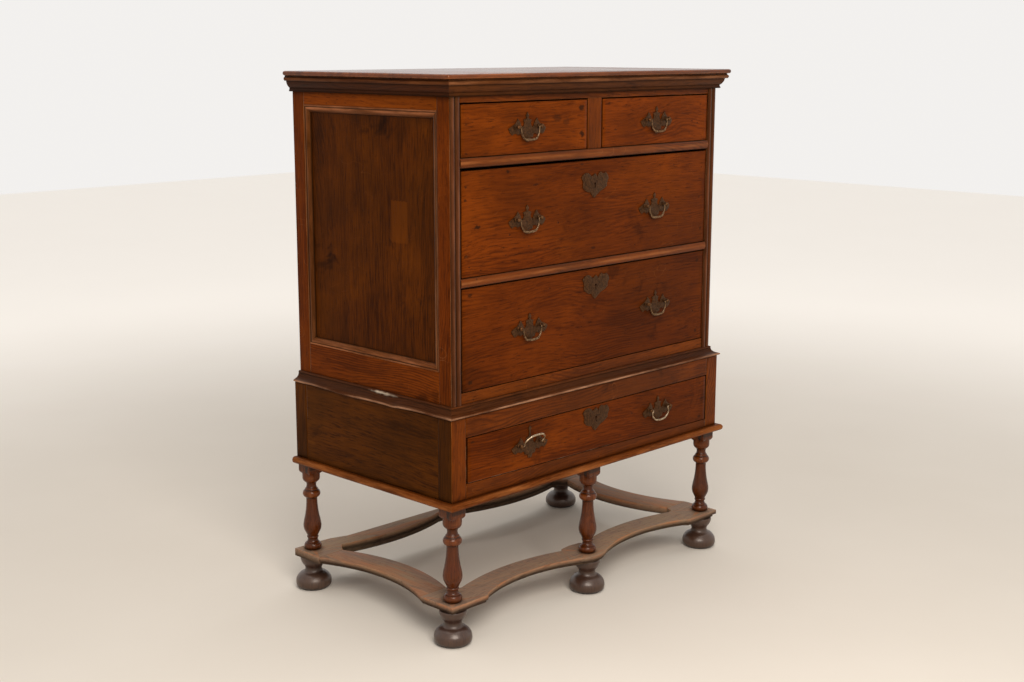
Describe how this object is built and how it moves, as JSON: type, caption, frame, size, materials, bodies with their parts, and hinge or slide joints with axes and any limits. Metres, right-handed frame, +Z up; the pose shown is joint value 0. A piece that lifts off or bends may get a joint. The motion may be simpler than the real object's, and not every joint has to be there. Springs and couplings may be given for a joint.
{
  "type": "tall chest of drawers",
  "caption": "Panelled chest of drawers on a low stand, with drop handles, turned legs, shaped flat stretchers and bun feet.",
  "frame": {"origin": "on the floor under the middle of the bounding box", "axes": "+Z up, +X to the right of a person facing the drawers, +Y to the back, drawers open towards -Y"},
  "size_m": [0.908, 0.5443, 1.145],
  "materials": {
    "case_wood": "worn wax polish, satin",
    "top_wood": "worn wax polish, satin",
    "moulding_wood": "worn wax polish, satin",
    "side_wood": "worn wax polish, satin",
    "front_wood": "worn wax polish, satin",
    "lining_wood": "bare planed oak, matt",
    "turned_wood": "worn wax polish, satin",
    "foot_wood": "worn wax polish, satin",
    "stretcher_wood": "faded and scuffed, matt",
    "brass": "dark patina, worn bright on the edges",
    "iron": "forged, rusted"
  },
  "bodies": {
    "chest": {"top_board": "top_wood", "cornice_moulding": "moulding_wood", "left_side_frame": "side_wood", "right_side_frame": "side_wood", "side_panels": "side_wood", "side_panel_mouldings": "moulding_wood", "upper_front_rails": "case_wood", "divider_rails": "case_wood", "short_drawer_muntin": "case_wood", "bead_mouldings": "moulding_wood", "upper_drawer_runners": "lining_wood", "upper_back_boards": "lining_wood", "upper_bottom_boards": "lining_wood", "waist_moulding": "moulding_wood", "stand_posts": "case_wood", "stand_side_boards": "side_wood", "stand_front_rails": "case_wood", "stand_back_board": "lining_wood", "stand_drawer_runners": "lining_wood", "base_moulding": "moulding_wood", "front_left_leg": "turned_wood", "front_middle_leg": "turned_wood", "front_right_leg": "turned_wood", "back_left_leg": "turned_wood", "back_right_leg": "turned_wood", "front_left_foot": "foot_wood", "front_middle_foot": "foot_wood", "front_right_foot": "foot_wood", "back_left_foot": "foot_wood", "back_right_foot": "foot_wood", "front_stretcher": "stretcher_wood", "back_stretcher": "stretcher_wood", "left_stretcher": "stretcher_wood", "right_stretcher": "stretcher_wood"},
    "short_left_drawer": {"short_left_drawer_front": "front_wood", "short_left_drawer_box": "lining_wood", "short_left_drawer_brasses": "brass"},
    "short_right_drawer": {"short_right_drawer_front": "front_wood", "short_right_drawer_box": "lining_wood", "short_right_drawer_brasses": "brass"},
    "upper_long_drawer": {"upper_long_drawer_front": "front_wood", "upper_long_drawer_box": "lining_wood", "upper_long_drawer_brasses": "brass", "upper_long_lock": "iron"},
    "lower_long_drawer": {"lower_long_drawer_front": "front_wood", "lower_long_drawer_box": "lining_wood", "lower_long_drawer_brasses": "brass", "lower_long_lock": "iron"},
    "stand_drawer": {"stand_drawer_front": "front_wood", "stand_drawer_box": "lining_wood", "stand_drawer_brasses": "brass", "stand_lock": "iron"},
    "short_left_bail": {"short_left_bail": "brass"},
    "short_right_bail": {"short_right_bail": "brass"},
    "upper_left_bail": {"upper_left_bail": "brass"},
    "upper_right_bail": {"upper_right_bail": "brass"},
    "lower_left_bail": {"lower_left_bail": "brass"},
    "lower_right_bail": {"lower_right_bail": "brass"},
    "stand_left_bail": {"stand_left_bail": "brass"},
    "stand_right_bail": {"stand_right_bail": "brass"}
  },
  "joints": [
    {"name": "short_left_drawer_slide", "type": "slide", "parent": "chest", "child": "short_left_drawer", "axis": [0, -1, 0], "range_m": [0, 0.36]},
    {"name": "short_right_drawer_slide", "type": "slide", "parent": "chest", "child": "short_right_drawer", "axis": [0, -1, 0], "range_m": [0, 0.36]},
    {"name": "upper_long_drawer_slide", "type": "slide", "parent": "chest", "child": "upper_long_drawer", "axis": [0, -1, 0], "range_m": [0, 0.36]},
    {"name": "lower_long_drawer_slide", "type": "slide", "parent": "chest", "child": "lower_long_drawer", "axis": [0, -1, 0], "range_m": [0, 0.36]},
    {"name": "stand_drawer_slide", "type": "slide", "parent": "chest", "child": "stand_drawer", "axis": [0, -1, 0], "range_m": [0, 0.36]},
    {"name": "short_left_bail_hinge", "type": "hinge", "parent": "short_left_drawer", "child": "short_left_bail", "pos_m": [-0.206, -0.2397, 1.039], "axis": [-1, 0, 0], "range_deg": [-10, 170]},
    {"name": "short_right_bail_hinge", "type": "hinge", "parent": "short_right_drawer", "child": "short_right_bail", "pos_m": [0.206, -0.2397, 1.039], "axis": [-1, 0, 0], "range_deg": [-10, 170]},
    {"name": "upper_left_bail_hinge", "type": "hinge", "parent": "upper_long_drawer", "child": "upper_left_bail", "pos_m": [-0.206, -0.2397, 0.854], "axis": [-1, 0, 0], "range_deg": [-10, 170]},
    {"name": "upper_right_bail_hinge", "type": "hinge", "parent": "upper_long_drawer", "child": "upper_right_bail", "pos_m": [0.204, -0.2397, 0.85], "axis": [-1, 0, 0], "range_deg": [-10, 170]},
    {"name": "lower_left_bail_hinge", "type": "hinge", "parent": "lower_long_drawer", "child": "lower_left_bail", "pos_m": [-0.198, -0.2397, 0.63], "axis": [-1, 0, 0], "range_deg": [-10, 170]},
    {"name": "lower_right_bail_hinge", "type": "hinge", "parent": "lower_long_drawer", "child": "lower_right_bail", "pos_m": [0.214, -0.2397, 0.629], "axis": [-1, 0, 0], "range_deg": [-10, 170]},
    {"name": "stand_left_bail_hinge", "type": "hinge", "parent": "stand_drawer", "child": "stand_left_bail", "pos_m": [-0.2128, -0.2557, 0.3875], "axis": [-1, 0, 0], "range_deg": [-158, 22]},
    {"name": "stand_right_bail_hinge", "type": "hinge", "parent": "stand_drawer", "child": "stand_right_bail", "pos_m": [0.2115, -0.2557, 0.387], "axis": [-1, 0, 0], "range_deg": [-10, 170]}
  ]
}
